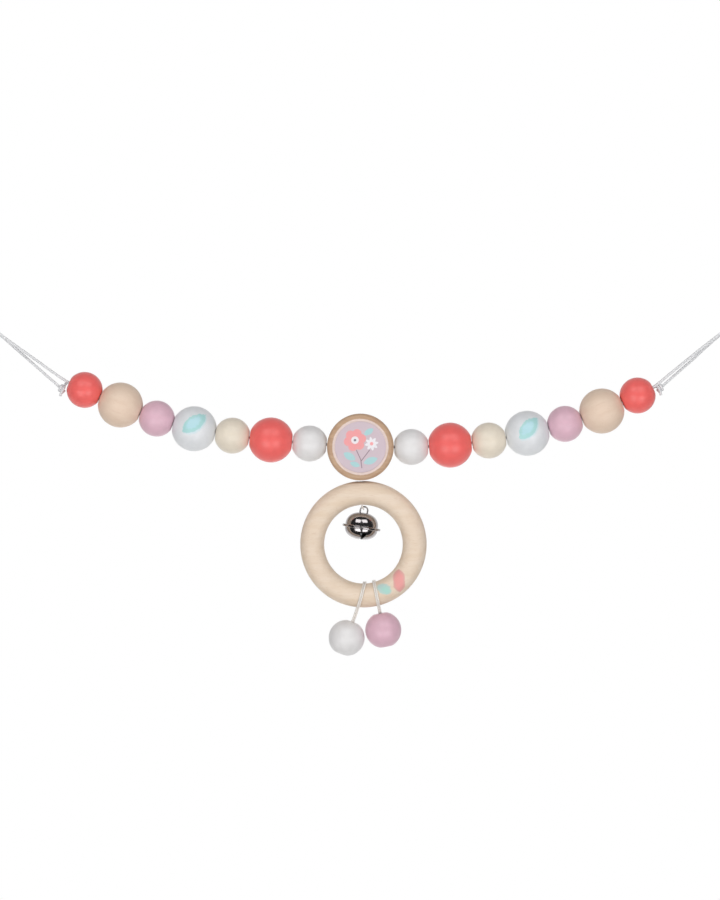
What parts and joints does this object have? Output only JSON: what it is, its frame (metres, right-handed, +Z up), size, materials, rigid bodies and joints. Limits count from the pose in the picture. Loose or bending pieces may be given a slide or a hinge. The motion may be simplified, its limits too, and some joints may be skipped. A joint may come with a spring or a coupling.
{
  "type": "pram chain toy",
  "caption": "Pram chain toy: wooden beads on elastic with end loops, a round medallion, and a hanging wooden ring with a jingle bell and bead pendants.",
  "frame": {"origin": "the tip of the left elastic loop, where it goes round what holds it", "axes": "+X from the left loop to the right loop, +Y away from the printed faces to the toy's back, +Z up"},
  "size_m": [0.4157, 0.025, 0.185],
  "materials": {
    "elastic": "fine braid",
    "cord": "twisted cotton",
    "paint_coral": "coral lacquer on wood",
    "paint_cream": "cream lacquer on wood",
    "paint_lilac_white": "lilac-white lacquer with a printed leaf",
    "paint_pink": "pink lacquer on wood",
    "beech": "clear lacquer on beech",
    "paint_pale_grey": "pale grey-white lacquer on wood",
    "medallion_wood": "turned wood, satin",
    "print": "printed lilac ground",
    "ring_wood": "turned beech, satin",
    "bell_nickel": "bright nickel plate",
    "bail_wire": "bright nickel plate",
    "clapper_steel": "plain steel ball"
  },
  "bodies": {
    "chain_cord": {"main_elastic_front": "elastic", "main_elastic_back": "elastic", "left_loop_elastic": "elastic", "right_loop_elastic": "elastic", "left_knot": "elastic", "right_knot": "elastic"},
    "left_white_bead": {"left_white_bead": "paint_pale_grey"},
    "left_coral_bead": {"left_coral_bead": "paint_coral"},
    "left_cream_bead": {"left_cream_bead": "paint_cream"},
    "left_leaf_bead": {"left_leaf_bead": "paint_lilac_white"},
    "left_pink_bead": {"left_pink_bead": "paint_pink"},
    "left_natural_bead": {"left_natural_bead": "beech"},
    "left_end_bead": {"left_end_bead": "paint_coral"},
    "right_white_bead": {"right_white_bead": "paint_pale_grey"},
    "right_coral_bead": {"right_coral_bead": "paint_coral"},
    "right_cream_bead": {"right_cream_bead": "paint_cream"},
    "right_leaf_bead": {"right_leaf_bead": "paint_lilac_white"},
    "right_pink_bead": {"right_pink_bead": "paint_pink"},
    "right_natural_bead": {"right_natural_bead": "beech"},
    "right_end_bead": {"right_end_bead": "paint_coral"},
    "medallion": {"medallion_body": "medallion_wood", "medallion_print": "print", "hanger_upper_cord": "cord"},
    "hanger": {"hanger_front_leg": "cord", "hanger_back_leg": "cord"},
    "ring": {"wooden_ring": "ring_wood"},
    "bell_loop": {"bell_loop_cord": "cord"},
    "bell": {"bell_bail": "bail_wire", "bell_top_shell": "bell_nickel", "bell_bottom_shell": "bell_nickel"},
    "clapper": {"bell_clapper": "clapper_steel"},
    "white_pendant": {"white_pendant_cord": "cord", "white_pendant_knot": "cord"},
    "white_pendant_bead": {"white_pendant_bead": "paint_pale_grey"},
    "pink_pendant": {"pink_pendant_cord": "cord", "pink_pendant_knot": "cord"},
    "pink_pendant_bead": {"pink_pendant_bead": "paint_pink"}
  },
  "joints": [
    {"name": "left_white_bead_spin", "type": "hinge", "parent": "chain_cord", "child": "left_white_bead", "pos_m": [0.17935, 0, -0.06664], "axis": [-0.9962, 0, 0.0872], "continuous": true},
    {"name": "left_coral_bead_spin", "type": "hinge", "parent": "chain_cord", "child": "left_coral_bead", "pos_m": [0.1579, 0, -0.06466], "axis": [-0.9954, 0, 0.0958], "continuous": true},
    {"name": "left_cream_bead_spin", "type": "hinge", "parent": "chain_cord", "child": "left_cream_bead", "pos_m": [0.13649, 0, -0.06226], "axis": [-0.9914, 0, 0.1305], "continuous": true},
    {"name": "left_leaf_bead_spin", "type": "hinge", "parent": "chain_cord", "child": "left_leaf_bead", "pos_m": [0.11531, 0, -0.05842], "axis": [-0.9763, 0, 0.2164], "continuous": true},
    {"name": "left_pink_bead_spin", "type": "hinge", "parent": "chain_cord", "child": "left_pink_bead", "pos_m": [0.09454, 0, -0.05279], "axis": [-0.9483, 0, 0.3173], "continuous": true},
    {"name": "left_natural_bead_spin", "type": "hinge", "parent": "chain_cord", "child": "left_natural_bead", "pos_m": [0.07437, 0, -0.04527], "axis": [-0.9272, 0, 0.3746], "continuous": true},
    {"name": "left_end_bead_spin", "type": "hinge", "parent": "chain_cord", "child": "left_end_bead", "pos_m": [0.05452, 0, -0.03689], "axis": [-0.9135, 0, 0.4067], "continuous": true},
    {"name": "right_white_bead_spin", "type": "hinge", "parent": "chain_cord", "child": "right_white_bead", "pos_m": [0.23577, 0, -0.06857], "axis": [1, 0, 0], "continuous": true},
    {"name": "right_coral_bead_spin", "type": "hinge", "parent": "chain_cord", "child": "right_coral_bead", "pos_m": [0.25737, 0, -0.06752], "axis": [0.9962, 0, 0.0872], "continuous": true},
    {"name": "right_cream_bead_spin", "type": "hinge", "parent": "chain_cord", "child": "right_cream_bead", "pos_m": [0.27885, 0, -0.06497], "axis": [0.9877, 0, 0.1564], "continuous": true},
    {"name": "right_leaf_bead_spin", "type": "hinge", "parent": "chain_cord", "child": "right_leaf_bead", "pos_m": [0.30011, 0, -0.06097], "axis": [0.9781, 0, 0.2079], "continuous": true},
    {"name": "right_pink_bead_spin", "type": "hinge", "parent": "chain_cord", "child": "right_pink_bead", "pos_m": [0.3211, 0, -0.05574], "axis": [0.9588, 0, 0.284], "continuous": true},
    {"name": "right_natural_bead_spin", "type": "hinge", "parent": "chain_cord", "child": "right_natural_bead", "pos_m": [0.34151, 0, -0.04859], "axis": [0.9304, 0, 0.3665], "continuous": true},
    {"name": "right_end_bead_spin", "type": "hinge", "parent": "chain_cord", "child": "right_end_bead", "pos_m": [0.36134, 0, -0.03997], "axis": [0.8988, 0, 0.4384], "continuous": true},
    {"name": "medallion_swing", "type": "hinge", "parent": "chain_cord", "child": "medallion", "pos_m": [0.20754, 0, -0.06802], "axis": [1, 0, 0], "continuous": true},
    {"name": "hanger_side_swing", "type": "hinge", "parent": "medallion", "child": "hanger", "pos_m": [0.20754, 0, -0.08727], "axis": [0, 1, 0], "range_deg": [-12, 12]},
    {"name": "ring_twist", "type": "hinge", "parent": "hanger", "child": "ring", "pos_m": [0.20754, 0, -0.08727], "axis": [-0.048, 0, 0.9988], "range_deg": [-180, 180]},
    {"name": "bell_side_swing", "type": "hinge", "parent": "hanger", "child": "bell_loop", "pos_m": [0.20819, 0, -0.10076], "axis": [0, 1, 0], "range_deg": [-10, 14]},
    {"name": "bell_swing", "type": "hinge", "parent": "bell_loop", "child": "bell", "pos_m": [0.20873, 0, -0.10192], "axis": [1, 0, 0], "range_deg": [-45, 45]},
    {"name": "clapper_slide", "type": "slide", "parent": "bell", "child": "clapper", "axis": [0.1525, 0, 0.9883], "range_m": [0, 0.006]},
    {"name": "white_pendant_swing", "type": "hinge", "parent": "ring", "child": "white_pendant", "pos_m": [0.20873, 0, -0.15098], "axis": [0.9959, 0, 0.0904], "range_deg": [-40, 40]},
    {"name": "white_pendant_bead_spin", "type": "hinge", "parent": "white_pendant", "child": "white_pendant_bead", "pos_m": [0.1999, 0, -0.17447], "axis": [0.3518, 0, 0.9361], "continuous": true},
    {"name": "pink_pendant_swing", "type": "hinge", "parent": "ring", "child": "pink_pendant", "pos_m": [0.21636, 0, -0.15008], "axis": [0.9959, 0, 0.0904], "range_deg": [-40, 40]},
    {"name": "pink_pendant_bead_spin", "type": "hinge", "parent": "pink_pendant", "child": "pink_pendant_bead", "pos_m": [0.22025, 0, -0.1701], "axis": [-0.1908, 0, 0.9816], "continuous": true}
  ]
}
